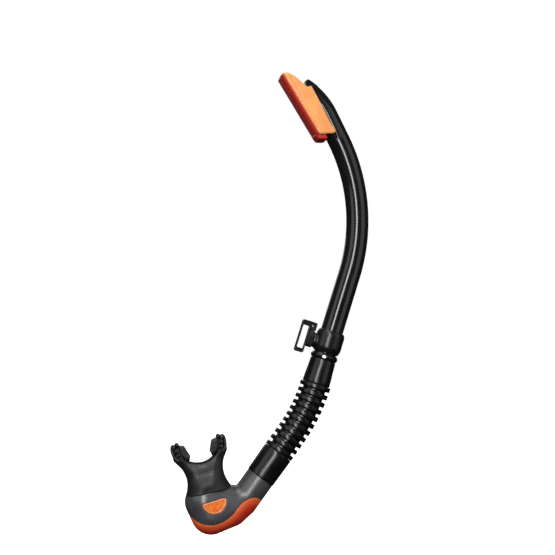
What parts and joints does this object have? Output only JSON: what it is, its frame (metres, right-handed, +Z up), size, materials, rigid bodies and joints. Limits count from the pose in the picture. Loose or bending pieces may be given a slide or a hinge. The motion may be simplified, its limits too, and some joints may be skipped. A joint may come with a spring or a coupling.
{
  "type": "snorkel tube",
  "caption": "Semi-dry snorkel: curved barrel with splash hood, strap keeper that swivels, ribbed flexible hose and purge chamber with a soft bite mouthpiece.",
  "frame": {"origin": "centre of the mask strap's slot in the keeper's loop", "axes": "+Z up towards the hood, +X from the strap slot towards the barrel and away from the mouthpiece, +Y across the snorkel's plane of symmetry"},
  "size_m": [0.1927, 0.0384, 0.4432],
  "materials": {
    "hood_orange": "glossy, slightly translucent moulded polycarbonate",
    "inner_black": "satin moulded plastic",
    "barrel_black": "polished extruded plastic",
    "trim_black": "satin-gloss moulded plastic",
    "steel": "turned and polished stainless steel",
    "seal_rubber": "greased nitrile",
    "hose_rubber": "satin silicone",
    "chamber_grey": "glossy charcoal moulded plastic",
    "valve_silicone": "soft translucent silicone",
    "cover_orange": "glossy moulded plastic",
    "badge_orange": "glossy plastic with a speckled inlay",
    "mouth_silicone": "matte silicone"
  },
  "bodies": {
    "barrel": {"barrel": "barrel_black", "hood": "hood_orange", "splash_baffle": "inner_black"},
    "keeper": {"keeper_collar": "trim_black", "swivel_stud": "steel", "swivel_washer": "steel"},
    "loop": {"strap_loop": "trim_black", "swivel_hub": "trim_black"},
    "connector": {"hose_connector": "trim_black", "connector_pin": "steel", "hose_o_ring": "seal_rubber", "flex_hose": "hose_rubber"},
    "chamber": {"chamber": "chamber_grey", "valve_seat": "inner_black", "purge_cover": "cover_orange", "badge_near": "badge_orange", "badge_far": "badge_orange", "mouthpiece": "mouth_silicone"},
    "purge_valve": {"purge_valve": "valve_silicone"}
  },
  "joints": [
    {"name": "keeper_turn", "type": "hinge", "parent": "barrel", "child": "keeper", "pos_m": [0.02461, 0, -0.00776], "axis": [0.3007, 0, 0.9537], "continuous": true},
    {"name": "loop_swivel", "type": "hinge", "parent": "keeper", "child": "loop", "pos_m": [0, 0, 0], "axis": [0.9537, 0, -0.3007], "range_deg": [-90, 90]},
    {"name": "hose_swivel", "type": "hinge", "parent": "barrel", "child": "connector", "pos_m": [0.01859, 0, -0.02683], "axis": [0.3007, 0, 0.9537], "continuous": true},
    {"name": "hose_flex", "type": "hinge", "parent": "connector", "child": "chamber", "pos_m": [-0.0027, 0, -0.08], "axis": [0, 1, 0], "range_deg": [-25, 45], "stiffness_Nm_per_rad": 0.5, "springref_deg": 5.73, "deforming": ["flex_hose"]},
    {"name": "valve_lift", "type": "slide", "parent": "chamber", "child": "purge_valve", "axis": [0.2672, 0, -0.9636], "range_m": [0, 0.0015], "stiffness_N_per_m": 100}
  ]
}
